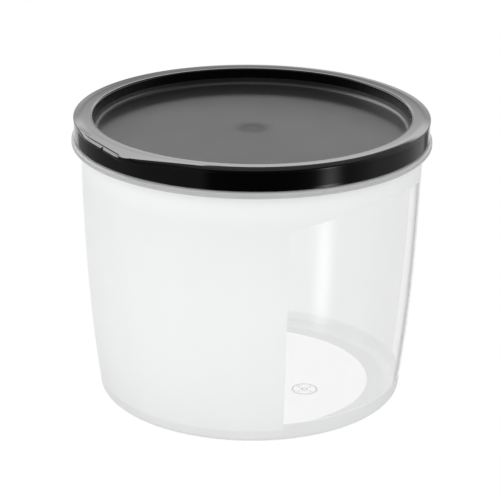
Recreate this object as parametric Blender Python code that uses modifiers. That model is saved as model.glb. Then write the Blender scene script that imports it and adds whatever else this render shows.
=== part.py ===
"""Round storage canister: a tapered tub with a rolled collar and a press-on lid with a pull tab.

Metres, +Z up.  The origin is the centre of the tub's resting plane.  +X is to the
right and -Y is the front, where the pull tab sits left of centre.
Both pieces are turned shapes round the Z axis; the lid adds a plate for its pull tab.

In the names, _R is a radius and _Z a height above the resting plane.
"""

import math

import bmesh
import bpy
from mathutils import Vector

MM = 0.001

# ---- driving dimensions, in millimetres and degrees -----------------------------
SEGMENTS = 60            # facets round every turned shape
TOTAL_HEIGHT = 144.0     # resting plane to the lid's flat ring

# tub wall
WALL = 1.5
RIM_R = 85.1             # outer radius of the wall at the rim
RIM_TOP_Z = 142.15
RIM_BREAK_R = 0.35       # broken edges of the rim: across
RIM_BREAK_Z = 0.45       # and down
TAPER_TOP_Z = 128.1      # the taper starts here, just under the collar
TAPER = (1.02, 1.96, 0.854)   # linear, square and cubic fall of the radius per TAPER_UNIT
TAPER_UNIT = 88.0

# tub foot and floor
HEEL_R = 3.0             # outer rounding where the wall meets the foot
HEEL_INNER_R = 4.0
FOOT_INNER_R = 61.6      # the foot is a flat ring outside this radius
FOOT_STEP = 0.5          # width of the slope from the foot to the floor's raised middle
FLOOR = 1.6              # top of the floor, and its thickness over the foot
FLOOR_LIFT = 0.5         # the underside of the floor's middle stands this much above the foot
FLOOR_LOOP_R = 30.0      # extra loop of vertices on the flat floor

# tub collar, open below
COLLAR_R = 89.74
COLLAR_TOP_Z = 132.78
COLLAR_BOTTOM_Z = 130.0
COLLAR_WALL = 1.4
COLLAR_TOP_ROUND = 1.1
COLLAR_BOTTOM_ROUND = 0.6

# snap bead on the outside of the rim
SNAP_R = 85.55
SNAP_Z = 138.6
SNAP_BASE = 1.0          # half the bead's height at the wall
SNAP_CREST = 0.25        # half the height of its flat crest

# lid panel, at the bottom of the recess
LID_WALL = 1.5
PANEL_Z = 135.45         # top of the panel
PANEL_FILLET = 2.2
PANEL_LOOP_R = 42.0      # extra loop of vertices on the flat panel
DIMPLE_R = 10.0          # soft dimple in the panel's centre
DIMPLE_DEPTH = 0.4

# lid ring; the edge tables hold (radius from the named one, height from the ring's top)
RING_INNER_R = 79.1      # mouth of the recess
RING_INNER_EDGE = ((0.0, -0.7), (0.25, -0.2), (0.8, 0.0))
RECESS_INSET = 0.4       # the recess wall's foot is this much inside its mouth
RECESS_BACK_FLARE = 0.3  # added to the recess wall's thickness under the ring
RING_FLAT_R = 83.25      # the ring's top falls away gently outside this radius
CROWN_R = 18.0
RING_OUTER_R = 88.7      # the ring overhangs the skirt slightly
RING_OUTER_EDGE = ((-0.1, -1.0), (0.0, -1.2), (0.0, -1.75))
RING_STEP_DROP = 2.05    # the overhang meets the skirt this far below the ring's top

# lid skirt
LID_R = 88.45            # outer radius of the skirt
LID_BORE_R = 86.55       # inside of the skirt
SKIRT_BOTTOM_Z = 133.15
SKIRT_CHAMFER = 0.3      # both bottom edges
BORE_CHAMFER = 0.6       # where the bore meets the ring's underside
LATCH_R = 85.95          # bead inside the skirt, below the tub's snap bead
LATCH_Z = 135.4
LATCH_BASE = 0.9
LATCH_CREST = 0.2

# sealing lip, just inside the tub's rim
LIP_OUTER_R = 83.25
LIP_WALL = 0.95
LIP_BOTTOM_Z = 136.2
LIP_BREAK_R = 0.25       # broken bottom edges: across
LIP_BREAK_Z = 0.3        # and up
LIP_DRAFT = 0.1          # each side widens by this much up to the ring

# pull tab: a rounded corner between two straight edges.
# Azimuths are measured round Z from the front, positive to the right.
TAB_LEFT_AZIMUTH = -58.5   # the tab's left edge is square to this azimuth
TAB_LEFT_R = 89.7          # and this far from the axis
TAB_RIGHT_AZIMUTH = -15.0  # likewise the right edge,
TAB_RIGHT_R = 86.4         # which ends inside the ring, being nearer the axis than its rim
TAB_CORNER_R = 6.0
TAB_BLEND_AZIMUTH = -82.0  # the left edge has run back into the ring here
TAB_EDGE_AZIMUTHS = (      # stations along the outer edge, from left to right
    TAB_BLEND_AZIMUTH + 4.0, -73.0, -68.0, -63.0, TAB_LEFT_AZIMUTH,
    -44.0, -42.0, -40.5, -39.0, -37.5, -35.5, -19.0,
)
TAB_END_R = TAB_RIGHT_R - 0.6   # both ends lie inside the ring, so the shapes cross cleanly
TAB_RIGHT_END_AZIMUTH = TAB_RIGHT_AZIMUTH + 3.0
TAB_ROOT_R = 82.5          # the plate is buried in the ring out from here
TAB_TOP_DROP = 0.15        # top of the tab below the ring's flat
TAB_THICKNESS = 2.4
TAB_BEVEL = 0.4
TAB_BEVEL_CLEARANCE = 0.05 # only edges this far outside the ring are bevelled
TAB_RELIEF_R = 86.0        # the plate's lower part starts here, clear of the tub's rim
TAB_RELIEF_Z = 142.62      # top of that relief
TAB_RELIEF_DEPTH = 4.0


# ---- profiles: lists of (radius, height) ----------------------------------------
def spread(start, end, steps):
    """Evenly spaced values from start to end, both included."""
    return [start + (end - start) * i / steps for i in range(steps + 1)]


def arc(centre_r, centre_z, radius, start, end, steps):
    """Points on a circular arc, from start to end in degrees, both ends included."""
    angles = [math.radians(degrees) for degrees in spread(start, end, steps)]
    return [(centre_r + radius * math.cos(a), centre_z + radius * math.sin(a)) for a in angles]


def bead(wall_r, crest_r, z, base, crest):
    """A flat-topped bead on an upright wall, from the top down; base and crest are half heights."""
    return [(wall_r, z + base), (crest_r, z + crest), (crest_r, z - crest), (wall_r, z - base)]


def edge_points(radius, top, offsets):
    """An edge table placed at a radius and a top height."""
    return [(radius + across, top + up) for across, up in offsets]


def wall_radius(z):
    """Outer radius of the tub's wall at height z: upright at the rim, then a growing taper."""
    fall = max(0.0, (TAPER_TOP_Z - z) / TAPER_UNIT)
    linear, square, cubic = TAPER
    return RIM_R - linear * fall - square * fall * fall - cubic * fall ** 3


def tub_profile():
    """From the floor's centre out, up the inside, over the rim, down the outside to the foot."""
    # floor and inside of the wall
    inner_heel_z = FLOOR + HEEL_INNER_R
    inner_heel_r = wall_radius(inner_heel_z) - WALL
    points = [(0.0, FLOOR), (FLOOR_LOOP_R, FLOOR), (FOOT_INNER_R, FLOOR)]
    points += arc(inner_heel_r - HEEL_INNER_R, inner_heel_z, HEEL_INNER_R, -90, 0, steps=4)
    points += [(wall_radius(z) - WALL, z) for z in spread(inner_heel_z, TAPER_TOP_Z, 7)[1:]]

    # rim and snap bead
    rim_inner_r = RIM_R - WALL
    points += [
        (rim_inner_r, RIM_TOP_Z - RIM_BREAK_Z),
        (rim_inner_r + RIM_BREAK_R, RIM_TOP_Z),
        (RIM_R - RIM_BREAK_R, RIM_TOP_Z),
        (RIM_R, RIM_TOP_Z - RIM_BREAK_Z),
    ]
    points += bead(RIM_R, SNAP_R, SNAP_Z, SNAP_BASE, SNAP_CREST)

    # collar
    points += [(RIM_R, COLLAR_TOP_Z)]
    points += arc(COLLAR_R - COLLAR_TOP_ROUND, COLLAR_TOP_Z - COLLAR_TOP_ROUND,
                  COLLAR_TOP_ROUND, 90, 0, steps=3)
    points += arc(COLLAR_R - COLLAR_BOTTOM_ROUND, COLLAR_BOTTOM_Z + COLLAR_BOTTOM_ROUND,
                  COLLAR_BOTTOM_ROUND, 0, -90, steps=2)
    points += [
        (COLLAR_R - COLLAR_WALL, COLLAR_BOTTOM_Z),
        (COLLAR_R - COLLAR_WALL, COLLAR_TOP_Z - COLLAR_WALL),
        (RIM_R, COLLAR_TOP_Z - COLLAR_WALL),
    ]

    # outside of the wall, heel, foot and underside of the floor
    points += [(wall_radius(z), z) for z in spread(TAPER_TOP_Z, HEEL_R, 9)]
    points += arc(wall_radius(HEEL_R) - HEEL_R, HEEL_R, HEEL_R, 0, -90, steps=4)[1:]
    points += [
        (FOOT_INNER_R, 0.0),
        (FOOT_INNER_R - FOOT_STEP, FLOOR_LIFT),
        (FLOOR_LOOP_R, FLOOR_LIFT),
        (0.0, FLOOR_LIFT),
    ]
    return points


def lid_profile():
    """From the panel's centre out, up the recess, over the ring, down the skirt and back inside."""
    top = TOTAL_HEIGHT
    under_ring = top - LID_WALL
    under_panel = PANEL_Z - LID_WALL
    recess_r = RING_INNER_R - RECESS_INSET

    # dimple, panel and recess wall
    points = [
        (r, PANEL_Z - DIMPLE_DEPTH * 0.5 * (1 + math.cos(math.pi * r / DIMPLE_R)))
        for r in spread(0.0, DIMPLE_R, 3)
    ]
    points += [(PANEL_LOOP_R, PANEL_Z)]
    points += arc(recess_r - PANEL_FILLET, PANEL_Z + PANEL_FILLET, PANEL_FILLET, -90, 0, steps=4)

    # ring
    points += edge_points(RING_INNER_R, top, RING_INNER_EDGE)
    points += arc(RING_FLAT_R, top - CROWN_R, CROWN_R, 90, 74, steps=4)
    points += edge_points(RING_OUTER_R, top, RING_OUTER_EDGE)

    # skirt, and the latch bead inside it
    points += [
        (LID_R, top - RING_STEP_DROP),
        (LID_R, SKIRT_BOTTOM_Z + SKIRT_CHAMFER),
        (LID_R - SKIRT_CHAMFER, SKIRT_BOTTOM_Z),
        (LID_BORE_R + SKIRT_CHAMFER, SKIRT_BOTTOM_Z),
        (LID_BORE_R, SKIRT_BOTTOM_Z + SKIRT_CHAMFER),
    ]
    points += reversed(bead(LID_BORE_R, LATCH_R, LATCH_Z, LATCH_BASE, LATCH_CREST))
    points += [(LID_BORE_R, under_ring - BORE_CHAMFER), (LID_BORE_R - BORE_CHAMFER, under_ring)]

    # sealing lip
    lip_inner_r = LIP_OUTER_R - LIP_WALL
    points += [
        (LIP_OUTER_R + LIP_DRAFT, under_ring),
        (LIP_OUTER_R, LIP_BOTTOM_Z + LIP_BREAK_Z),
        (LIP_OUTER_R - LIP_BREAK_R, LIP_BOTTOM_Z),
        (lip_inner_r + LIP_BREAK_R, LIP_BOTTOM_Z),
        (lip_inner_r, LIP_BOTTOM_Z + LIP_BREAK_Z),
        (lip_inner_r - LIP_DRAFT, under_ring),
    ]

    # back of the recess wall and underside of the panel
    back_fillet = PANEL_FILLET + LID_WALL
    points += [(RING_INNER_R + LID_WALL + RECESS_BACK_FLARE, under_ring)]
    points += arc(recess_r + LID_WALL - back_fillet, under_panel + back_fillet,
                  back_fillet, 0, -90, steps=4)
    points += [(PANEL_LOOP_R, under_panel), (0.0, under_panel)]
    return points


# ---- scene helpers ---------------------------------------------------------------
def material(name, colour, roughness, transmission=0.0):
    made = bpy.data.materials.new(name)
    made.use_nodes = True
    shader = made.node_tree.nodes["Principled BSDF"]
    shader.inputs["Base Color"].default_value = (*colour, 1.0)
    shader.inputs["Roughness"].default_value = roughness
    shader.inputs["Transmission Weight"].default_value = transmission
    made.diffuse_color = (*colour, 1.0)
    return made


def collection(name):
    made = bpy.data.collections.new(name)
    bpy.context.scene.collection.children.link(made)
    return made


def add_object(name, data, into, parent=None):
    obj = bpy.data.objects.new(name, data)
    into.objects.link(obj)
    obj.parent = parent
    return obj


def mesh_from(bm, name):
    """Turns a bmesh into a mesh and frees it."""
    mesh = bpy.data.meshes.new(name)
    bm.to_mesh(mesh)
    bm.free()
    return mesh


def hide_helper(obj):
    obj.hide_render = True
    obj.display_type = "WIRE"


def add_boolean(obj, name, operation, other):
    modifier = obj.modifiers.new(name, "BOOLEAN")
    modifier.operation = operation
    modifier.solver = "EXACT"
    modifier.object = other


def turned(name, profile, surface, into, parent):
    """A profile in the XZ plane, spun round Z by a Screw modifier."""
    bm = bmesh.new()
    verts = [bm.verts.new((x * MM, 0.0, z * MM)) for x, z in profile]
    for pair in zip(verts, verts[1:]):
        bm.edges.new(pair)
    obj = add_object(name, mesh_from(bm, name), into, parent)
    obj.data.materials.append(surface)
    screw = obj.modifiers.new("turn", "SCREW")
    screw.axis = "Z"
    screw.angle = 2 * math.pi
    screw.steps = screw.render_steps = SEGMENTS
    screw.use_merge_vertices = True
    screw.merge_threshold = 0.01 * MM    # closes the seam and the poles on the axis
    screw.use_smooth_shade = True
    return obj


# ---- pull tab --------------------------------------------------------------------
def tab_radius(azimuth):
    """Distance of the tab's edge from the axis: two straight edges with a rounded corner."""
    if azimuth < TAB_LEFT_AZIMUTH:
        t = (azimuth - TAB_BLEND_AZIMUTH) / (TAB_LEFT_AZIMUTH - TAB_BLEND_AZIMUTH)
        return TAB_RIGHT_R + (TAB_LEFT_R - TAB_RIGHT_R) * t * t * (3 - 2 * t)
    angle = math.radians(azimuth)
    left = math.radians(TAB_LEFT_AZIMUTH)
    right = math.radians(TAB_RIGHT_AZIMUTH)
    turn = right - left

    # centre of the corner's circle: its distance square to each edge, and along each edge
    left_in = TAB_LEFT_R - TAB_CORNER_R
    right_in = TAB_RIGHT_R - TAB_CORNER_R
    left_along = (right_in - left_in * math.cos(turn)) / math.sin(turn)
    right_along = (left_in - right_in * math.cos(turn)) / math.sin(turn)

    if angle <= left + math.atan2(left_along, TAB_LEFT_R):
        return TAB_LEFT_R / math.cos(angle - left)
    if angle >= right - math.atan2(right_along, TAB_RIGHT_R):
        return TAB_RIGHT_R / math.cos(angle - right)
    centre_r = math.hypot(left_in, left_along)
    centre_angle = left + math.atan2(left_along, left_in)
    reach = centre_r * math.cos(angle - centre_angle)
    return reach + math.sqrt(TAB_CORNER_R ** 2 - centre_r ** 2 + reach ** 2)


def tab_outline():
    """The tab's outer edge from left to right, closed by a root inside the ring."""
    stations = [(TAB_END_R, TAB_BLEND_AZIMUTH)]
    stations += [(tab_radius(azimuth), azimuth) for azimuth in TAB_EDGE_AZIMUTHS]
    stations += [(TAB_END_R, TAB_RIGHT_END_AZIMUTH)]
    root = spread(TAB_RIGHT_AZIMUTH, TAB_BLEND_AZIMUTH, 8)
    stations += [(TAB_ROOT_R, azimuth) for azimuth in root]
    return [
        Vector((r * math.sin(math.radians(azimuth)), -r * math.cos(math.radians(azimuth))))
        for r, azimuth in stations
    ]


def tab_relief(into):
    """A disc that fills the space over the tub's rim."""
    bpy.ops.mesh.primitive_cylinder_add(
        vertices=120,
        radius=TAB_RELIEF_R * MM,
        depth=TAB_RELIEF_DEPTH * MM,
        location=(0.0, 0.0, (TAB_RELIEF_Z - TAB_RELIEF_DEPTH / 2) * MM),
    )
    cutter = bpy.context.object
    cutter.name = "tab_relief"
    for holder in list(cutter.users_collection):
        holder.objects.unlink(cutter)
    into.objects.link(cutter)
    hide_helper(cutter)
    return cutter


def tab_plate(into):
    """The pull tab as a plate with its upper outer edge bevelled and its lower part relieved."""
    top = TOTAL_HEIGHT - TAB_TOP_DROP
    bm = bmesh.new()
    bottom = (top - TAB_THICKNESS) * MM
    face = bm.faces.new([bm.verts.new((p.x * MM, p.y * MM, bottom)) for p in tab_outline()])
    grown = bmesh.ops.extrude_face_region(bm, geom=[face])
    raised = [g for g in grown["geom"] if isinstance(g, bmesh.types.BMVert)]
    bmesh.ops.translate(bm, verts=raised, vec=(0.0, 0.0, TAB_THICKNESS * MM))
    bmesh.ops.recalc_face_normals(bm, faces=bm.faces[:])
    bevel_from_r = (RING_OUTER_R + TAB_BEVEL_CLEARANCE) * MM
    upper = [
        edge for edge in bm.edges
        if all(v.co.z > (top - 0.01) * MM and v.co.xy.length > bevel_from_r for v in edge.verts)
    ]
    bmesh.ops.bevel(bm, geom=upper, offset=TAB_BEVEL * MM, segments=1, profile=0.5,
                    affect="EDGES")
    plate = add_object("tab_plate", mesh_from(bm, "tab_plate"), into)
    hide_helper(plate)
    add_boolean(plate, "relief", "DIFFERENCE", tab_relief(into))
    return plate


def main():
    for old in list(bpy.data.objects):
        bpy.data.objects.remove(old, do_unlink=True)

    parts = collection("round_storage_canister")
    helpers = collection("helpers")
    frosted = material("frosted_polypropylene", colour=(0.80, 0.81, 0.81), roughness=0.45,
                       transmission=0.6)
    black = material("black_polypropylene", colour=(0.012, 0.012, 0.013), roughness=0.32)

    root = add_object("canister", None, parts)
    lift = add_object("lid_lift_axis", None, parts, parent=root)
    turned("tub", tub_profile(), frosted, parts, parent=root)
    lid = turned("lid", lid_profile(), black, parts, parent=lift)
    add_boolean(lid, "pull_tab", "UNION", tab_plate(helpers))
    bpy.context.view_layer.update()


main()
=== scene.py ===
"""Looks for the round storage canister: a satin natural polypropylene tub with a clear
window moulded into its wall, and a black press-on lid with a pull tab.

The canister stands upright on z = 0 with its axis on Z, its front towards -Y and its right
towards +X.  The window is at the front right, the tab at the front left.  Lengths in the shape
functions are millimetres.  Azimuth (az) is measured from the front towards +X, in degrees.
"""

import math

import bmesh
import bpy
import numpy as np
from mathutils import Matrix, Vector


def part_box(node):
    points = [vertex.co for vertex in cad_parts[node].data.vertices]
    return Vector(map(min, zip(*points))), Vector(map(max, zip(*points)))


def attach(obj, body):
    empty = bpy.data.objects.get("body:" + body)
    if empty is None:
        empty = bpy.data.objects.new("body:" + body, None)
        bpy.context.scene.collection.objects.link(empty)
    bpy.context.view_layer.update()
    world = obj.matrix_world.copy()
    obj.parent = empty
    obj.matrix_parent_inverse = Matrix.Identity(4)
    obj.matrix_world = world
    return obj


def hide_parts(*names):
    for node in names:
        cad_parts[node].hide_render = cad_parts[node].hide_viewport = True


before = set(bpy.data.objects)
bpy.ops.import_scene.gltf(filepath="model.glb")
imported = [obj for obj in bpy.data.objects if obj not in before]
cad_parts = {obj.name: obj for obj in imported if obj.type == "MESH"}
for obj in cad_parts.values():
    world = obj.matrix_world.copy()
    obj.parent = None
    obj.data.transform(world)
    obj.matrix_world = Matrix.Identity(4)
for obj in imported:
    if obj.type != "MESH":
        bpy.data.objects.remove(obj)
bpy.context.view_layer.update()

MM = 0.001
COLUMN_STEP = 1.0                            # degrees between the columns of a turned mesh
SHARP_ANGLE = 34.0

# ------------------------------------------------------------------ tub sizes
WALL = 1.5
RIM_R, RIM_TOP, RIM_ROUND = 85.1, 142.15, 0.55
# the wall leans in below TAPER_TOP by a cubic of the drop counted in TAPER_UNITs
TAPER_TOP, TAPER_UNIT, TAPER = 128.1, 88.0, (1.02, 1.96, 0.854)
HEEL_R, INNER_HEEL = 3.0, 4.0
FOOT_INNER, FLOOR, LIFT = 61.6, 1.6, 0.5
# the step up from the foot to the lifted floor: offset from FOOT_INNER, share of LIFT
FOOT_STEP = [(0.5, 0.0), (0.35, 0.05), (0.15, 0.28), (-0.1, 0.62), (-0.3, 0.9)]
COLLAR_R, COLLAR_TOP, COLLAR_FOOT, COLLAR_UNDER = 89.74, 132.78, 130.0, 131.38
LIP_INNER = COLLAR_R - 1.4

WINDOW_LEFT, WINDOW_RIGHT = 12.2, 100.0      # azimuths of the clear window's upright edges
WINDOW_MID = 51.1                            # azimuth where its arched upper edge is highest
WINDOW_HALF = WINDOW_MID - WINDOW_LEFT
WINDOW_APEX, WINDOW_SAG, WINDOW_FOOT = 118.1, 6.8, 9.6

# ------------------------------------------------------------------ lid sizes
TOP = 1000.0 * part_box("lid")[1][2]           # the lid's flat ring
LID_WALL = 1.5
SKIRT_R, RING_R, RING_IN, BORE_R = 88.45, 88.6, 79.1, 86.55
CROWN_IN, CROWN_OUT, SKIRT_FOOT, UNDERSIDE = 84.1, 88.1, 133.15, 142.5
MOUTH_R = RING_IN - 0.4                      # wall of the recess round the panel
PANEL_Z, PANEL_FILLET, PANEL_DOME, DOME_R = 135.45, 2.2, 0.5, 70.0
DIMPLE_R, DIMPLE_HALF_DEPTH, GATE_R, GATE_RISE = 11.0, 0.12, 1.5, 0.05
EDGE_ROUND = 0.5
# azimuths that the tab's two straight edges face, and where its left edge meets the ring
TAB_LEFT, TAB_LEFT_R, TAB_RIGHT, TAB_BLEND = -58.5, 89.7, -15.0, -88.0
NICK_AZ, NICK_WIDTH, NICK_DEPTH = -51.4, 0.45, 0.45
TAB_DROP = 0.03                              # fall of the tab's flat top to its edge
# the plate's rounded lower corner: zone, inset from the edge, rise above its foot
LOW_CORNER = [("ring", 0.0, 0.32), ("skirt", 0.02, 0.2), ("skirt", 0.07, 0.1),
              ("skirt", 0.16, 0.03), ("skirt", 0.28, 0.0)]


# ------------------------------------------------------------------ turned meshes
def resolve(value, *place):
    """A row entry is a constant or a function of the azimuth."""
    return value(*place) if callable(value) else value


def signed_volume(points, faces):
    """Six times the volume; negative when the faces look inwards."""
    volume = 0.0
    for face in faces:
        for m in range(1, len(face) - 1):
            cross = np.cross(points[face[m]], points[face[m + 1]])
            volume += float(np.dot(points[face[0]], cross))
    return volume


def turned_mesh(name, azimuths, rows, first_z, last_z, slots):
    """A closed turned body.  rows are (radius, height, zone), from the axis at first_z to the
    axis at last_z.  A zone names the material of the band that starts at its row, or picks it
    from the azimuths of a face's two sides."""
    count = len(azimuths)
    angles = np.radians(np.array(azimuths))
    verts = [(0.0, 0.0, first_z)]
    for radius, height, _ in rows:
        r = np.array([resolve(radius, az) for az in azimuths])
        z = np.array([resolve(height, az) for az in azimuths])
        verts += list(zip(r * np.sin(angles), r * -np.cos(angles), z))
    verts.append((0.0, 0.0, last_z))
    faces, zones = [], []

    def add_band(corners, zone):
        for j in range(count):
            k = (j + 1) % count
            faces.append(corners(j, k))
            zones.append(resolve(zone, azimuths[j], azimuths[k]))

    add_band(lambda j, k: (0, 1 + j, 1 + k), rows[0][2])
    for i in range(len(rows) - 1):
        here = 1 + i * count
        above = here + count
        add_band(lambda j, k: (here + j, above + j, above + k, here + k), rows[i][2])
    last = len(verts) - 1
    ring = last - count
    add_band(lambda j, k: (last, ring + k, ring + j), rows[-1][2])

    points = np.array(verts, float) * MM
    if signed_volume(points, faces) < 0:
        faces = [tuple(reversed(face)) for face in faces]
    mesh = bpy.data.meshes.new(name)
    mesh.from_pydata([tuple(point) for point in points], [], faces)
    mesh.validate()
    names = list(slots)
    mesh.polygons.foreach_set("material_index", [names.index(zone) for zone in zones])
    for polygon in mesh.polygons:
        polygon.use_smooth = True
    mesh.set_sharp_from_angle(angle=math.radians(SHARP_ANGLE))
    obj = bpy.data.objects.new(name, mesh)
    bpy.context.scene.collection.objects.link(obj)
    for material in slots.values():
        mesh.materials.append(material)
    return obj


def ring_azimuths(extra):
    """Even columns with exact extra ones; near neighbours of the extra ones are dropped."""
    gap = 0.4 * COLUMN_STEP
    even = [az for az in np.arange(-180.0, 180.0, COLUMN_STEP)
            if all(abs(az - exact) > gap for exact in extra)]
    return sorted(float(az) for az in even + list(extra))


def rings(zone, points):
    """Level round rows through (radius, height) points."""
    return [(r, z, zone) for r, z in points]


def shaped(zone, point, *shares):
    """A row whose (radius, height) is point(az, *shares)."""
    return (lambda az: point(az, *shares)[0], lambda az: point(az, *shares)[1], zone)


def arc(r, z, radius, start, end, steps, height=None):
    """Points of an arc round (r, z), from angle start to end; height makes it elliptical."""
    angles = [math.radians(start + (end - start) * i / steps) for i in range(steps + 1)]
    height = radius if height is None else height
    return [(r + radius * math.cos(a), z + height * math.sin(a)) for a in angles]


def bead(r, z, swell, half_height):
    """Nine points over a soft bead standing out from radius r by swell."""
    shares = [-1.0 + 2.0 * i / 8 for i in range(9)]
    return [(r + swell * math.cos(t * math.pi / 2) ** 1.3, z + t * half_height) for t in shares]


def ease(x, start, end):
    """0 at start, 1 at end, smooth between."""
    t = min(1.0, max(0.0, (x - start) / (end - start)))
    return t * t * (3 - 2 * t)


# ------------------------------------------------------------------ tub profile
def wall_radius(z):
    t = max(0.0, (TAPER_TOP - z) / TAPER_UNIT)
    linear, square, cube = TAPER
    return RIM_R - linear * t - square * t * t - cube * t ** 3


def arch(az):
    """Height of the window's upper edge; level outside the window."""
    d = (az - WINDOW_MID) / WINDOW_HALF
    return WINDOW_APEX - WINDOW_SAG * min(1.0, d * d)


def windowed(inside, outside, margin=0.0):
    """Zone by azimuth: inside the clear window or outside it."""
    def pick(a, b):
        mid = 0.5 * (a + (b if b > a else b + 360.0))
        return inside if WINDOW_LEFT - margin < mid < WINDOW_RIGHT + margin else outside
    return pick


def wall_row(start, end, share, offset, zone):
    """A row on the wall, a share of the way between the heights start and end."""
    def height(az):
        return resolve(start, az) + (resolve(end, az) - resolve(start, az)) * share
    return (lambda az: wall_radius(height(az)) - offset, height, zone)


def wall_rows(offset, band, window, lower):
    """Rows from TAPER_TOP down to WINDOW_FOOT whose grid follows the window's arch."""
    rows = [wall_row(TAPER_TOP, arch, i / 6, offset, band) for i in range(6)]
    rows += [wall_row(arch, WINDOW_FOOT, i / 26, offset, window) for i in range(26)]
    return rows + [(wall_radius(WINDOW_FOOT) - offset, WINDOW_FOOT, lower)]


def tub_inside():
    # the clear middle runs a little further on the inside, so that sight lines leave it cleanly
    rows = rings("clear", [(r, FLOOR) for r in (6, 14, 24, 34, 44, 52, 58.5, 62.0)])
    fillet_top = FLOOR + INNER_HEEL
    fillet_mid = wall_radius(fillet_top) - WALL - INNER_HEEL
    rows += rings("inner", [
        (FOOT_INNER + 3.2, FLOOR),
        *arc(fillet_mid, fillet_top, INNER_HEEL, -90, 0, 12),
        (wall_radius(7.6) - WALL, 7.6),
    ])
    # a zone starts at its row, so going up the wall the zones shift by one row
    wall = wall_rows(WALL, "inner", windowed("clear", "inner", margin=3.5), "inner")
    zones = ["inner"] + [zone for _, _, zone in wall[:-1]]
    rows += reversed([(r, z, zone) for (r, z, _), zone in zip(wall, zones)])
    return rows + rings("inner", [(RIM_R - WALL, z) for z in (132.0, 137.0)])


def tub_rim():
    return rings("rim", [
        *arc(RIM_R - WALL + RIM_ROUND, RIM_TOP - RIM_ROUND, RIM_ROUND, 180, 90, 5),
        *arc(RIM_R - RIM_ROUND, RIM_TOP - RIM_ROUND, RIM_ROUND, 90, 0, 5),
        (RIM_R, 139.7),
        *bead(RIM_R, 138.6, swell=0.45, half_height=-1.0),
        (RIM_R, 133.3),
        *arc(RIM_R + 0.5, COLLAR_TOP + 0.5, 0.5, 180, 270, 4),
    ])


def tub_collar():
    """Two soft beads round the collar's edge, then the down-turned lip and its hollow."""
    return rings("collar", [
        *arc(COLLAR_R - 1.0, COLLAR_TOP - 1.0, 1.0, 90, 0, 7),
        (COLLAR_R - 0.03, 131.5), (COLLAR_R - 0.14, 131.28), (COLLAR_R - 0.03, 131.05),
        *arc(COLLAR_R - 0.55, COLLAR_FOOT + 0.55, 0.55, 0, -90, 5),
        (LIP_INNER + 0.2, COLLAR_FOOT), (LIP_INNER, COLLAR_FOOT + 0.2),
        *arc(LIP_INNER - 0.5, COLLAR_UNDER - 0.5, 0.5, 0, 90, 3),
        *arc(RIM_R + 0.6, COLLAR_UNDER - 0.6, 0.6, 90, 180, 4),
    ])


def tub_outside():
    heel_or_satin = windowed("heel", "satin")
    rows = [(RIM_R, 129.4, "satin")]
    rows += wall_rows(0.0, "satin", windowed("window", "satin"), heel_or_satin)
    rows += [(wall_radius(8.0), 8.0, heel_or_satin)]
    rows += rings("heel", [(wall_radius(z), z) for z in (6.4, 4.8)])
    rows += rings("heel", arc(wall_radius(HEEL_R) - HEEL_R, HEEL_R, HEEL_R, 0, -90, 10))
    rows += rings("foot", [(71.0, 0.0), (66.0, 0.0)])
    rows += rings("foot", [(FOOT_INNER + offset, LIFT * share) for offset, share in FOOT_STEP])
    radii = (FOOT_INNER - 0.5, FOOT_INNER - 1.2, 58.5, 50, 40, 30, 20, 12, 6)
    return rows + rings("clear", [(r, LIFT) for r in radii])


# ------------------------------------------------------------------ the lid's plate outline
def tab_radius(az, corner_r, right_r):
    """Distance of the tab's edge from the axis: two straight edges with a rounded corner."""
    if az <= TAB_BLEND or az >= TAB_RIGHT:
        return right_r
    if az < TAB_LEFT:
        return right_r + (TAB_LEFT_R - right_r) * ease(az, TAB_BLEND, TAB_LEFT)
    turn = math.radians(TAB_RIGHT - TAB_LEFT)
    from_left = math.radians(az - TAB_LEFT)
    to_right = turn - from_left
    left_d, right_d = TAB_LEFT_R - corner_r, right_r - corner_r
    # how far along each straight edge the corner's centre lies
    along_left = (right_d - left_d * math.cos(turn)) / math.sin(turn)
    along_right = (left_d - right_d * math.cos(turn)) / math.sin(turn)
    if from_left <= math.atan2(along_left, TAB_LEFT_R):
        return TAB_LEFT_R / math.cos(from_left)
    if to_right <= math.atan2(along_right, right_r):
        return right_r / math.cos(to_right)
    centre = math.hypot(left_d, along_left)
    across = centre * math.cos(from_left - math.atan2(along_left, left_d))
    return across + math.sqrt(max(0.0, corner_r ** 2 - centre ** 2 + across ** 2))


def larger(a, b, blend):
    """The larger of two lengths, with the crossing rounded off."""
    return 0.5 * (a + b + math.sqrt((a - b) ** 2 + blend ** 2))


def on_tab(az):
    """1 along the pull tab, 0 round the rest of the ring."""
    return ease(az, -76.0, -62.0) * (1.0 - ease(az, -19.0, 0.0))


def bevel(az):
    """1 where the tab's left edge is cut to a flat bevel, up to its corner."""
    return ease(az, -72.0, -62.0) * (1.0 - ease(az, -42.0, -40.4))


def nick(az):
    """Small notch low in the tab's left edge."""
    d = (az - NICK_AZ) / NICK_WIDTH
    return NICK_DEPTH * math.exp(-d * d)


def plate_edge(az):
    """Outermost radius of the ring and the tab."""
    return larger(RING_R, tab_radius(az, corner_r=24.0, right_r=87.4), blend=0.25)


def flat_end(az):
    """Radius where the tab's flat top ends."""
    inset = 0.25 + 0.7 * bevel(az)
    return min(tab_radius(az, corner_r=6.0, right_r=86.4), plate_edge(az) + 0.9) - inset


def ring_top(r):
    """Height of the ring's top: almost flat, then falling away gently towards its edge."""
    z = TOP - (min(r, CROWN_IN) - 80.0) ** 2 / 680.0
    d = max(0.0, r - CROWN_IN)
    return z - 0.157 * (d - 1.4 * (1.0 - math.exp(-d / 1.4)))


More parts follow.
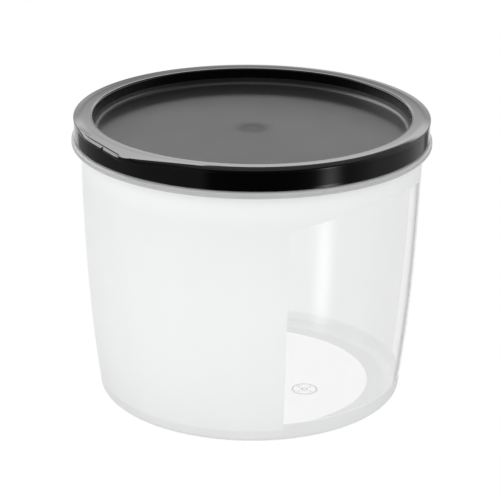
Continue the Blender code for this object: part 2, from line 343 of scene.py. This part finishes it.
def top_point(az, share):
    """Point of the ring's top, from its flat (share 0) to where its edge begins (share 1)."""
    weight = on_tab(az)
    ring_r = CROWN_IN + (CROWN_OUT - CROWN_IN) * share
    tab_r = CROWN_IN + (flat_end(az) - CROWN_IN) * share
    ring_z = ring_top(ring_r)
    crease = 0.10 * bevel(az) if share == 1.0 else 0.0
    tab_z = TOP - TAB_DROP * share - crease
    return ring_r + (tab_r - ring_r) * weight, ring_z + (tab_z - ring_z) * weight


def edge_point(az, share):
    """Point of the plate's edge, from its top (share 0) to the head of its upright face."""
    weight, cut = on_tab(az), bevel(az)
    turn = math.radians(9.0 + 81.0 * share)
    ring_r = RING_R - EDGE_ROUND + EDGE_ROUND * math.sin(turn)
    ring_z = ring_top(CROWN_OUT) - EDGE_ROUND * (1.0 - math.cos(turn))
    # the tab's edge is a quarter round, or straight where it is bevelled
    turn = math.radians(90.0 * share)
    out = math.sin(turn) + (share - math.sin(turn)) * cut
    down = 1.0 - math.cos(turn) + (share - 1.0 + math.cos(turn)) * cut
    start = flat_end(az)
    tab_r = start + (plate_edge(az) - start) * out
    tab_z = TOP - TAB_DROP - (1.15 + 0.1 * cut) * down
    r, z = ring_r + (tab_r - ring_r) * weight, ring_z + (tab_z - ring_z) * weight
    return r - nick(az) * max(0.0, share - 0.3) / 0.7, z


def foot_of_edge(az):
    """Lowest height of the plate's upright edge."""
    return TOP - 1.85 - 0.65 * on_tab(az)


def low_point(az, inset, rise):
    """Point of the rounded lower corner of the plate's edge."""
    return edge_point(az, 1.0)[0] - inset, foot_of_edge(az) + rise


def under_tab(az, share, rise):
    """Point of the tab's underside, from its edge (share 1) back to the skirt (share 0)."""
    reach = max(0.05, edge_point(az, 1.0)[0] - 0.32 - SKIRT_R)
    return SKIRT_R + reach * share, foot_of_edge(az) + rise


# ------------------------------------------------------------------ lid profile
def panel_height(r):
    """The panel is a little higher in the middle, with a dimple round its centre."""
    dome = PANEL_DOME * max(0.0, 1.0 - (r / DOME_R) ** 2)
    fall = DIMPLE_HALF_DEPTH * (1 + math.cos(math.pi * min(1.0, r / DIMPLE_R)))
    if r < GATE_R:
        fall -= GATE_RISE                      # the trimmed gate stands a little proud
    return PANEL_Z + dome - fall


def lid_panel():
    radii = (0.8, 1.6, 2.6, 3.6, 4.6, 5.8, 7.0, 8.2, 9.4, 10.6, 12.0,
             15, 18, 22, 28, 34, 40, 46, 52, 57, 62, 66, 70, 73, 75)
    rows = rings("panel", [(r, panel_height(r)) for r in radii])
    rows += rings("panel", arc(MOUTH_R - PANEL_FILLET, PANEL_Z + PANEL_FILLET, PANEL_FILLET,
                               -90, -8, 12))
    return rows + rings("wall", [(MOUTH_R - 0.02, PANEL_Z + 3.6), (RING_IN - 0.1, TOP - 1.4)])


def lid_ring():
    """The ring's top and edge, and the tab with its underside."""
    rows = rings("ring", arc(RING_IN + 0.8, TOP - 0.8, 0.8, 180, 90, 8))
    rows += rings("ring", [(r, ring_top(r)) for r in (80.8, 81.6, 82.4, 83.0)])
    rows += [shaped("ring", top_point, k / 6) for k in (0, 1, 2, 3, 4, 5, 5.6, 6)]
    rows += [shaped("ring", edge_point, k / 8) for k in range(1, 9)]
    rows += [shaped(zone, low_point, inset, rise) for zone, inset, rise in LOW_CORNER]
    rows += [shaped("skirt", under_tab, share, rise)
             for share, rise in ((0.9, 0.0), (0.5, 0.02), (0.06, 0.04), (0.0, 0.0))]
    return rows


def lid_skirt():
    rows = [(SKIRT_R, lambda az: foot_of_edge(az) - 0.25, "skirt")]
    rows += rings("skirt", [(SKIRT_R, z) for z in (140.2, 138.6, 137.4, 136.0, 134.8)])
    return rows + rings("skirt", arc(SKIRT_R - 0.35, SKIRT_FOOT + 0.35, 0.35, 0, -90, 5))


def lid_underside():
    """The skirt's bore with its bead, a thin hanging rib, and the back of the panel."""
    back_r, back_z = MOUTH_R + LID_WALL, PANEL_Z - LID_WALL
    turn = PANEL_FILLET + LID_WALL
    return rings("under", [
        (BORE_R + 0.3, SKIRT_FOOT), (BORE_R + 0.05, 133.3), (BORE_R, 133.6),
        *bead(BORE_R, 135.4, swell=-0.55, half_height=0.9),
        (BORE_R, 138.0), (BORE_R, 141.4),
        *arc(BORE_R - 0.9, UNDERSIDE - 0.9, 0.9, 0, 90, 6),
        # rib: down its outer face, round its foot, up its inner face
        (83.9, UNDERSIDE), (83.45, 142.42), (83.27, 142.1), (83.25, 139.0), (83.2, 136.7),
        *arc(82.78, 136.55, 0.42, 0, -180, 6, height=0.35),
        (82.3, 139.0), (82.25, 142.0), (82.1, 142.4), (81.8, UNDERSIDE),
        # down the back of the recess and in along the back of the panel
        (back_r + 1.1, UNDERSIDE), (back_r + 0.4, 142.35), (back_r + 0.06, 141.9),
        (back_r, 140.6),
        *arc(back_r - turn, back_z + turn, turn, -8, -90, 10),
        *((r, back_z) for r in (66, 54, 42, 30, 18, 8)),
    ])


# ------------------------------------------------------------------ node materials
PLASTIC_IOR = 1.49
NOISE_SPAN = (0.3, 0.7)                      # the part of a noise's range that is put to use
DEGREES = 180.0 / math.pi


class Nodes:
    """Small helper round a node tree: clears it and gives it an output."""

    def __init__(self, tree, output="ShaderNodeOutputMaterial"):
        self.tree = tree
        tree.nodes.clear()
        self.out = self.add(output)

    def add(self, kind, inputs=None, **settings):
        node = self.tree.nodes.new(kind)
        for key, value in settings.items():
            setattr(node, key, value)
        for key, value in (inputs or {}).items():
            if isinstance(value, bpy.types.NodeSocket):
                self.tree.links.new(value, node.inputs[key])
            else:
                node.inputs[key].default_value = value
        return node

    def surface(self, shader):
        self.tree.links.new(shader, self.out.inputs["Surface"])

    def maths(self, operation, *values):
        return self.add("ShaderNodeMath", dict(enumerate(values)), operation=operation).outputs[0]

    def plus(self, a, b):
        return self.maths("ADD", a, b)

    def times(self, product, *factors):
        for factor in factors:
            product = self.maths("MULTIPLY", product, factor)
        return product

    def vector(self, operation, *values, output="Value"):
        node = self.add("ShaderNodeVectorMath", dict(enumerate(values)), operation=operation)
        return node.outputs[output]

    def remap(self, value, span, to=(0.0, 1.0), smooth=False):
        return self.add("ShaderNodeMapRange", {
            "Value": value, "From Min": span[0], "From Max": span[1],
            "To Min": to[0], "To Max": to[1],
        }, interpolation_type="SMOOTHSTEP" if smooth else "LINEAR").outputs[0]

    def spread(self, noise, low, high):
        return self.remap(noise, span=NOISE_SPAN, to=(low, high))

    def noise(self, vector, scale, detail=2.0, rough=0.5):
        return self.add("ShaderNodeTexNoise", {"Vector": vector, "Scale": scale, "Detail": detail,
                                               "Roughness": rough}).outputs["Fac"]

    def stretched_noise(self, vector, scale):
        mapping = self.add("ShaderNodeMapping", {"Vector": vector, "Scale": scale})
        return self.noise(mapping.outputs[0], scale=1.0)

    def bump(self, height, strength, distance):
        return self.add("ShaderNodeBump", {"Strength": strength, "Distance": distance,
                                           "Height": height}).outputs[0]

    def ramp(self, value, stops):
        """Grey ramp through (position, level) stops."""
        node = self.add("ShaderNodeValToRGB", {0: value})
        elements = node.color_ramp.elements
        while len(elements) < len(stops):
            elements.new(0.5)
        for element, (position, level) in zip(elements, stops):
            element.position = position
            element.color = (level, level, level, 1.0)
        return node.outputs[0]

    def blend(self, share, a, b):
        return self.add("ShaderNodeMix", {0: share, 2: a, 3: b}, data_type="FLOAT").outputs[0]

    def blend_colours(self, share, a, b):
        return self.add("ShaderNodeMix", {0: share, 6: (*a, 1.0), 7: (*b, 1.0)},
                        data_type="RGBA").outputs[2]

    def blend_shaders(self, share, a, b):
        return self.add("ShaderNodeMixShader", {0: share, 1: a, 2: b}).outputs[0]

    def plastic(self, colour, roughness, specular, normal):
        return self.add("ShaderNodeBsdfPrincipled", {
            "Base Color": colour, "Roughness": roughness, "IOR": PLASTIC_IOR,
            "Specular IOR Level": specular, "Normal": normal}).outputs[0]


def new_material(name):
    made = bpy.data.materials.new(name)
    made.use_nodes = True
    n = Nodes(made.node_tree)
    return made, n, n.add("ShaderNodeTexCoord").outputs["Object"]


def satin_material(name, low, high, through, rough, grain=0.10, inward=0.75, top_share=1.0):
    """Milky natural polypropylene with a satin skin: part reflects, part passes through.
    through is the share let in from outside, inward the share seen glowing from the inside."""
    made, n, where = new_material(name)
    cloud = n.noise(where, scale=22.0, detail=3.0, rough=0.55)
    streak = n.stretched_noise(where, scale=(60.0, 60.0, 7.0))
    tone = n.plus(n.times(cloud, 0.6), n.times(streak, 0.4))
    colour = n.blend_colours(n.spread(tone, 0.0, 1.0), low, high)
    skin = n.noise(where, scale=1500.0, rough=0.6)
    roughness = n.spread(n.noise(where, scale=90.0), low=rough - 0.03, high=rough + 0.04)
    face = n.plastic(colour, roughness, specular=0.42,
                     normal=n.bump(skin, strength=grain, distance=0.00006))
    back = n.add("ShaderNodeBsdfTranslucent", {"Color": colour}).outputs[0]
    behind = n.add("ShaderNodeNewGeometry").outputs["Backfacing"]
    # painted light: less light passes towards the collar, so less of the dim inside shows and the
    # wall reads lighter there; a fitted look, the wall is as thick there
    height = n.add("ShaderNodeSeparateXYZ", {0: where}).outputs[2]
    share = n.times(n.remap(behind, span=(0.0, 1.0), to=(through, inward)),
                    n.remap(height, span=(0.112, 0.126), to=(1.0, top_share), smooth=True))
    n.surface(n.blend_shaders(share, face, back))
    return made


def clear_material(name, tint=0.985, passed=0.95, rough=0.012):
    """Polished clear polypropylene; shadow and diffuse rays pass straight through it."""
    made, n, where = new_material(name)
    haze = n.spread(n.noise(where, scale=30.0, detail=3.0), low=rough * 0.6, high=rough * 1.4)
    ripple = n.bump(n.noise(where, scale=45.0, detail=1.0), strength=0.04, distance=0.0002)
    glass = n.add("ShaderNodeBsdfGlass", {"Color": (tint, tint, tint, 1.0), "Roughness": haze,
                                          "IOR": PLASTIC_IOR, "Normal": ripple})
    pass_on = n.add("ShaderNodeBsdfTransparent", {"Color": (passed, passed, passed, 1.0)})
    path = n.add("ShaderNodeLightPath").outputs
    either = n.maths("MAXIMUM", path["Is Shadow Ray"], path["Is Diffuse Ray"])
    n.surface(n.blend_shaders(either, glass.outputs[0], pass_on.outputs[0]))
    return made


def inner_material(name, tint=0.985, sheen=1.0):
    """The polished inside face behind the satin skin: a thin clear surface with a sheen."""
    made, n, where = new_material(name)
    see = n.add("ShaderNodeBsdfTransparent", {"Color": (tint, tint, tint, 1.0)})
    rough = n.spread(n.noise(where, scale=40.0), low=0.10, high=0.16)
    shine = n.add("ShaderNodeBsdfGlossy", {"Color": (1.0, 1.0, 1.0, 1.0), "Roughness": rough})
    fresnel = n.add("ShaderNodeFresnel", {"IOR": PLASTIC_IOR}).outputs[0]
    behind = n.add("ShaderNodeNewGeometry").outputs["Backfacing"]
    share = n.times(fresnel, sheen, n.maths("SUBTRACT", 1.0, behind))
    n.surface(n.blend_shaders(share, see.outputs[0], shine.outputs[0]))
    return made


# specular level outwards from the gate: share of 15 mm, level
GATE_GLOSS = [(0.0, 0.36), (0.14, 0.31), (0.28, 0.255), (0.42, 0.31), (0.60, 0.60),
              (0.76, 0.765), (1.0, 0.785)]


def gate_specular(n, where):
    """Duller blush where the plastic ran in, round the middle; towards the front the specular is
    raised, painted light.
    """
    flat = n.vector("MULTIPLY", where, (1.0, 1.0, 0.0), output=0)
    wobble = n.spread(n.noise(where, scale=260.0), low=-0.0006, high=0.0006)
    radial = n.plus(n.vector("LENGTH", flat), wobble)
    specular = n.ramp(n.remap(radial, span=(0.0, 0.015)), GATE_GLOSS)
    # painted light: the specular level is raised towards the front, so the panel's front reads
    # lighter, standing in for how the light falls across it
    y = n.vector("DOT_PRODUCT", where, (0.0, 1.0, 0.0))
    return n.times(specular, n.remap(y, span=(-0.045, 0.045), to=(1.27, 1.02), smooth=True))


def black_material(name, base, rough, spread, grain, grain_scale, specular=0.5, gate=False):
    """Black polypropylene: moulded skin with a fine grain and slightly uneven gloss."""
    made, n, where = new_material(name)
    cloud = n.noise(where, scale=35.0, detail=3.0, rough=0.6)
    flow = n.stretched_noise(where, scale=(90.0, 14.0, 14.0))
    tone = n.plus(n.times(cloud, 0.7), n.times(flow, 0.3))
    colour = n.blend_colours(n.spread(tone, 0.0, 1.0), (base * 0.85,) * 3, (base * 1.2,) * 3)
    roughness = n.spread(tone, low=rough - spread, high=rough + spread)
    skin = n.noise(where, scale=grain_scale, rough=0.6)
    n.surface(n.plastic(colour, roughness, gate_specular(n, where) if gate else specular,
                        normal=n.bump(skin, strength=grain, distance=0.00005)))
    return made


# ------------------------------------------------------------------ build the pieces
def build_tub():
    satin = satin_material("satin_polypropylene", low=(0.915, 0.92, 0.92), high=(0.935, 0.94, 0.94),
                           through=0.24, rough=0.42, top_share=0.4, inward=0.9)
    # painted shade: the heel is a darker copy of the satin, standing in for the shade low down
    # where the tub meets the floor
    heel = satin_material("heel_polypropylene_painted_shade", low=(0.87, 0.875, 0.875), high=(0.905, 0.91, 0.91),
                          through=0.33, rough=0.38)
    # painted shade: the foot ring is a darker copy of the satin, standing in for the shade where it
    # sits on the floor
    foot = satin_material("foot_polypropylene_painted_shade", low=(0.82, 0.825, 0.825), high=(0.86, 0.865, 0.865),
                          through=0.40, rough=0.40)
    # painted shade: the collar and rim are a much darker copy of the satin; the grey stands in for
    # the dark surroundings the clear collar shows just under the black lid
    collar = satin_material("collar_polypropylene_painted_shade", low=(0.60, 0.605, 0.605),
                            high=(0.66, 0.665, 0.665), through=0.40, rough=0.16, grain=0.03)
    clear = clear_material("clear_polypropylene")
    window = clear_material("window_polypropylene")
    inner = inner_material("inner_polypropylene")
    tub = turned_mesh(
        "tub_shell", ring_azimuths((WINDOW_LEFT, WINDOW_RIGHT)),
        tub_inside() + tub_rim() + tub_collar() + tub_outside(), FLOOR, LIFT,
        {"satin": satin, "window": window, "clear": clear, "inner": inner, "rim": collar,
         "collar": collar, "heel": heel, "foot": foot})
    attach(tub, "tub")
    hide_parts("tub")


MARK_X, MARK_Y, MARK_HEIGHT, MARK_SINK, MARK_SLOPE = 28.2, -17.4, 0.09, 0.02, 0.22


def mark_band(bm, inner, outer, start, stop, steps):
    """A raised band with sloping sides; a full turn closes on itself, less gets end faces."""
    closed = stop - start == 360.0
    section = [(inner, 0.0), (inner + MARK_SLOPE, 1.0), (outer - MARK_SLOPE, 1.0), (outer, 0.0)]
    foot_z = (FLOOR - MARK_SINK) * MM
    columns = []
    for i in range(steps if closed else steps + 1):
        a = math.radians(start + (stop - start) * i / steps)
        columns.append([bm.verts.new((r * MM * math.cos(a), r * MM * math.sin(a),
                                      foot_z + MARK_HEIGHT * MM * up)) for r, up in section])
    for i in range(steps):
        here, there = columns[i], columns[(i + 1) % len(columns)]
        for j in range(4):
            k = (j + 1) % 4
            bm.faces.new((here[j], there[j], there[k], here[k]))
    if not closed:
        bm.faces.new(columns[0])
        bm.faces.new(columns[-1][::-1])


def build_floor_mark():
    """A plain raised mark of the mould on the tub's floor: two rings and four short ticks."""
    bm = bmesh.new()
    mark_band(bm, 5.7, 6.7, 0.0, 360.0, 72)
    mark_band(bm, 1.0, 1.9, 0.0, 360.0, 40)
    for quarter in range(4):
        middle = 45.0 + 90.0 * quarter
        mark_band(bm, 3.4, 5.0, middle - 6.0, middle + 6.0, 4)
    bmesh.ops.recalc_face_normals(bm, faces=bm.faces[:])
    mesh = bpy.data.meshes.new("floor_mark")
    bm.to_mesh(mesh)
    bm.free()
    mark = bpy.data.objects.new("floor_mark", mesh)
    mark.location = (MARK_X * MM, MARK_Y * MM, 0.0)
    bpy.context.scene.collection.objects.link(mark)
    mesh.materials.append(satin_material(
        "mark_polypropylene", low=(0.965, 0.97, 0.97), high=(0.975, 0.98, 0.98),
        through=0.45, rough=0.35))
    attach(mark, "tub")


def build_lid():
    panel = black_material("black_satin", base=0.012, rough=0.38, spread=0.02, grain=0.12,
                           grain_scale=1500.0, gate=True)
    # painted shade: the recess wall gets a darker, duller copy of the lid's black, standing in for
    # the shade inside the recess
    recess = black_material("black_recess_painted_shade", base=0.001, rough=0.26, spread=0.02, grain=0.04,
                            grain_scale=900.0, specular=0.2)
    ring = black_material("black_ring", base=0.0012, rough=0.08, spread=0.015, grain=0.03,
                          grain_scale=700.0)
    skirt = black_material("black_gloss", base=0.0008, rough=0.06, spread=0.01, grain=0.02,
                           grain_scale=120.0)
    under = black_material("black_inside", base=0.010, rough=0.22, spread=0.02, grain=0.05,
                           grain_scale=900.0)
    # finer columns along the tab, finest from its nick to its corner
    fine = np.concatenate([np.arange(-66.0, -52.5, 0.5), np.arange(-52.5, -35.0, 0.2),
                           np.arange(-35.0, -16.0, 0.5)])
    lid = turned_mesh(
        "lid_shell", ring_azimuths(tuple(np.round(fine, 3))),
        lid_panel() + lid_ring() + lid_skirt() + lid_underside(),
        panel_height(0.0), PANEL_Z - LID_WALL,
        {"panel": panel, "wall": recess, "ring": ring, "skirt": skirt, "under": under})
    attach(lid, "lid")
    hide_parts("lid")


# ------------------------------------------------------------------ studio
# below the horizon, left and right halves: position from behind (0) to front (1), level
BELOW_LEFT = [(0.0, 1.0), (0.03, 0.95), (0.058, 0.95), (0.064, 0.80), (0.080, 0.32),
              (0.172, 0.25), (0.33, 0.20), (0.5, 0.21), (0.66, 0.17), (0.925, 0.16),
              (0.95, 0.03), (1.0, 0.01)]
BELOW_RIGHT = [(0.0, 1.0), (0.025, 0.95), (0.045, 0.18), (0.075, 0.20), (0.095, 0.58),
               (0.172, 0.56), (0.258, 0.42), (0.405, 0.34), (0.535, 0.35), (0.62, 0.22),
               (0.70, 0.14), (0.90, 0.06), (0.95, 0.02), (1.0, 0.01)]
# the card on the table: position between its two elevations, level
CARD_ELEVATIONS, CARD_TURN, CARD_WIDTH, CARD_LEVEL = (-34.0, -18.0), 51.0, 6.4, 3.4
CARD_FADE = [(0.0, 0.0), (0.2, 0.0), (0.34, 0.75), (0.5, 1.0), (0.72, 0.85), (0.90, 0.32),
             (0.95, 0.30), (0.975, 0.22), (1.0, 0.0)]
# above the horizon, behind and in front: position from horizon (0) to zenith (1), level
BANK_SCALE = 3.4                             # keeps the ramp's own levels below 1
BANK = [(0.0, 0.8), (0.13, 0.85), (0.165, 0.62), (0.1767, 0.78), (0.1906, 1.45), (0.2067, 2.35),
        (0.235, 2.9), (0.250, 2.9), (0.270, 0.25), (0.42, 0.22), (0.6, 0.35), (1.0, 0.45)]
FACING = [(0.0, 0.03), (0.3, 0.15), (0.6, 0.5), (0.8, 0.6), (1.0, 0.6)]
# what soft surfaces gather: position from left (0) to right (1), level
SOFT = [(0.0, 0.83), (0.25, 0.90), (0.5, 1.0), (0.62, 0.96), (0.8, 0.72), (1.0, 0.44)]
SOFT_STRENGTH = 1.25


def mirrored_below(n, front, side, elevation, turn):
    """What glossy surfaces mirror below the horizon: dark in front, white behind."""
    position = n.remap(front, span=(-1.0, 1.0))
    table = n.blend(n.remap(side, span=(-0.05, 0.05)),
                    n.ramp(position, BELOW_LEFT), n.ramp(position, BELOW_RIGHT))
    # a pale card lying on the table to the front right
    off = n.maths("DIVIDE", n.maths("SUBTRACT", turn, CARD_TURN), CARD_WIDTH)
    across = n.maths("EXPONENT", n.times(off, off, -1.0))
    down = n.ramp(n.remap(elevation, span=CARD_ELEVATIONS), CARD_FADE)
    return n.plus(table, n.times(across, down, CARD_LEVEL))


def mirrored_above(n, x, front, elevation, turn):
    """What glossy surfaces mirror above the horizon: a bright bank low behind the object."""
    height = n.remap(elevation, span=(0.0, 90.0))
    bank = n.ramp(height, [(position, level / BANK_SCALE) for position, level in BANK])
    # low down the bank is brighter on the right
    lean = n.times(n.remap(x, span=(-0.08, 0.08), to=(-0.45, 0.35)),
                   n.remap(elevation, span=(6.0, 14.0), to=(1.0, 0.0), smooth=True))
    bank = n.times(bank, BANK_SCALE, n.plus(1.0, lean))
    # the bank's flanks are even lower down
    away = n.maths("ABSOLUTE", turn, 0.0)
    flank = n.times(n.remap(away, span=(176.0, 168.0), smooth=True),
                    n.remap(elevation, span=(16.8, 15.2), smooth=True))
    bank = n.plus(bank, n.times(flank, n.remap(elevation, span=(2.0, 11.0), to=(0.3, 0.75))))
    # a bright panel standing to the left and behind, mirrored in the tab's bevel
    across = n.times(n.remap(turn, span=(-150.0, -138.0), smooth=True),
                     n.remap(turn, span=(-102.0, -94.0), to=(1.0, 0.0), smooth=True))
    upright = n.times(n.remap(elevation, span=(3.0, 8.0), smooth=True),
                      n.remap(elevation, span=(46.0, 56.0), to=(1.0, 0.0), smooth=True))
    level = n.remap(elevation, span=(30.0, 42.0), to=(2.3, 4.6))
    bank = n.plus(bank, n.times(n.times(across, upright), level))
    to_front = n.remap(front, span=(-0.2, 0.5), smooth=True)
    return n.blend(to_front, bank, n.ramp(height, FACING))


def build_world():
    """Separate surroundings for glossy rays, for diffuse rays and for all others."""
    world = bpy.data.worlds.new("studio")
    bpy.context.scene.world = world
    world.use_nodes = True
    world.cycles.sampling_method = "NONE"
    n = Nodes(world.node_tree, "ShaderNodeOutputWorld")
    path = n.add("ShaderNodeLightPath").outputs
    direction = n.add("ShaderNodeTexCoord").outputs["Generated"]
    x, y, z = n.add("ShaderNodeSeparateXYZ", {0: direction}).outputs
    flat = n.maths("SQRT", n.plus(n.times(x, x), n.times(y, y)))
    flat = n.maths("MAXIMUM", flat, 0.0001)
    front = n.maths("DIVIDE", n.times(y, -1.0), flat)                  # 1 front, -1 back
    side = n.maths("DIVIDE", x, flat)                                  # 1 right, -1 left
    elevation = n.times(n.maths("ARCSINE", z), DEGREES)
    turn = n.times(n.maths("ARCTAN2", x, n.times(y, -1.0)), DEGREES)   # azimuth
    gloss = n.blend(n.remap(z, span=(-0.01, 0.01)),
                    mirrored_below(n, front, side, elevation, turn),
                    mirrored_above(n, x, front, elevation, turn))
    # soft light is nearly even, a little less from the right
    soft = n.times(n.ramp(n.remap(x, span=(-1.0, 1.0)), SOFT), SOFT_STRENGTH)
    plain = n.plus(1.0, n.times(path["Is Transmission Ray"], 0.08))
    level = n.blend(path["Is Diffuse Ray"], plain, soft)
    total = n.blend(path["Is Glossy Ray"], level, gloss)
    n.surface(n.add("ShaderNodeBackground", {"Color": (1.0, 1.0, 1.0, 1.0),
                                             "Strength": total}).outputs[0])


FLOOR_SEGMENTS, FLOOR_Z = 96, -0.0003        # metres, as are the radii
FLOOR_RADII = [0.02, 0.05, 0.08, 0.11, 0.16, 0.3, 0.6, 1.5, 6.0]


def floor_material():
    """White to the eye; it lights the foot a little less close in."""
    made, n, where = new_material("studio_white")
    path = n.add("ShaderNodeLightPath").outputs
    near = n.remap(n.vector("LENGTH", where), span=(0.070, 0.20), to=(0.80, 1.12), smooth=True)
    seen = n.maths("MAXIMUM", path["Is Camera Ray"], path["Is Transmission Ray"])
    white = n.plus(1.0, n.times(path["Is Transmission Ray"], 0.05))
    n.surface(n.add("ShaderNodeEmission", {"Color": (1.0, 1.0, 1.0, 1.0),
                                           "Strength": n.blend(seen, near, white)}).outputs[0])
    made.cycles.emission_sampling = "NONE"
    return made


def build_floor():
    """A plain pale round floor, just below the canister's foot."""
    mesh = bpy.data.meshes.new("studio_floor")
    count = FLOOR_SEGMENTS
    angles = [2 * math.pi * i / count for i in range(count)]
    verts = [(0.0, 0.0, FLOOR_Z)]
    verts += [(r * math.cos(a), r * math.sin(a), FLOOR_Z) for r in FLOOR_RADII for a in angles]
    faces = [(0, 1 + i, 1 + (i + 1) % count) for i in range(count)]
    for ring in range(len(FLOOR_RADII) - 1):
        a = 1 + ring * count
        b = a + count
        faces += [(a + i, b + i, b + (i + 1) % count, a + (i + 1) % count) for i in range(count)]
    mesh.from_pydata(verts, [], faces)
    floor = bpy.data.objects.new("studio_floor", mesh)
    bpy.context.scene.collection.objects.link(floor)
    mesh.materials.append(floor_material())
    floor.visible_glossy = False


# metres and radians; the camera is placed round the aim point, then turned by small angles
CAMERA_AIM, CAMERA_DISTANCE, CAMERA_ELEVATION = (0.0, 0.0, 0.14305), 1.0136544, 0.3002
CAMERA_PITCH, CAMERA_YAW, CAMERA_ROLL = -0.0666, 0.0004, -0.0095
SENSOR_MM, LENS_MM = 36.0, 146.628


def build_camera():
    """Long lens, a little above the lid, square to the front."""
    offset = CAMERA_DISTANCE * Vector((0.0, -math.cos(CAMERA_ELEVATION),
                                       math.sin(CAMERA_ELEVATION)))
    forward = (-offset).normalized()
    right = Vector((1.0, 0.0, 0.0))
    up = right.cross(forward)
    turn = Matrix.Rotation(CAMERA_PITCH, 3, right)
    forward, up = turn @ forward, turn @ up
    turn = Matrix.Rotation(CAMERA_YAW, 3, up)
    forward, right = turn @ forward, turn @ right
    turn = Matrix.Rotation(CAMERA_ROLL, 3, forward)
    right, up = turn @ right, turn @ up
    data = bpy.data.cameras.new("camera")
    data.sensor_width = SENSOR_MM
    data.lens = LENS_MM
    data.clip_start, data.clip_end = 0.02, 50.0
    camera = bpy.data.objects.new("camera", data)
    bpy.context.scene.collection.objects.link(camera)
    placed = Matrix((right, up, -forward)).transposed().to_4x4()
    placed.translation = offset + Vector(CAMERA_AIM)
    camera.matrix_world = placed
    bpy.context.scene.camera = camera


def set_render():
    scene = bpy.context.scene
    scene.cycles.transparent_max_bounces = 24
    scene.cycles.diffuse_bounces = 6
    scene.view_settings.view_transform = "Standard"
    scene.view_settings.look = "None"


build_tub()
build_floor_mark()
build_lid()
set_render()
build_world()
build_floor()
build_camera()
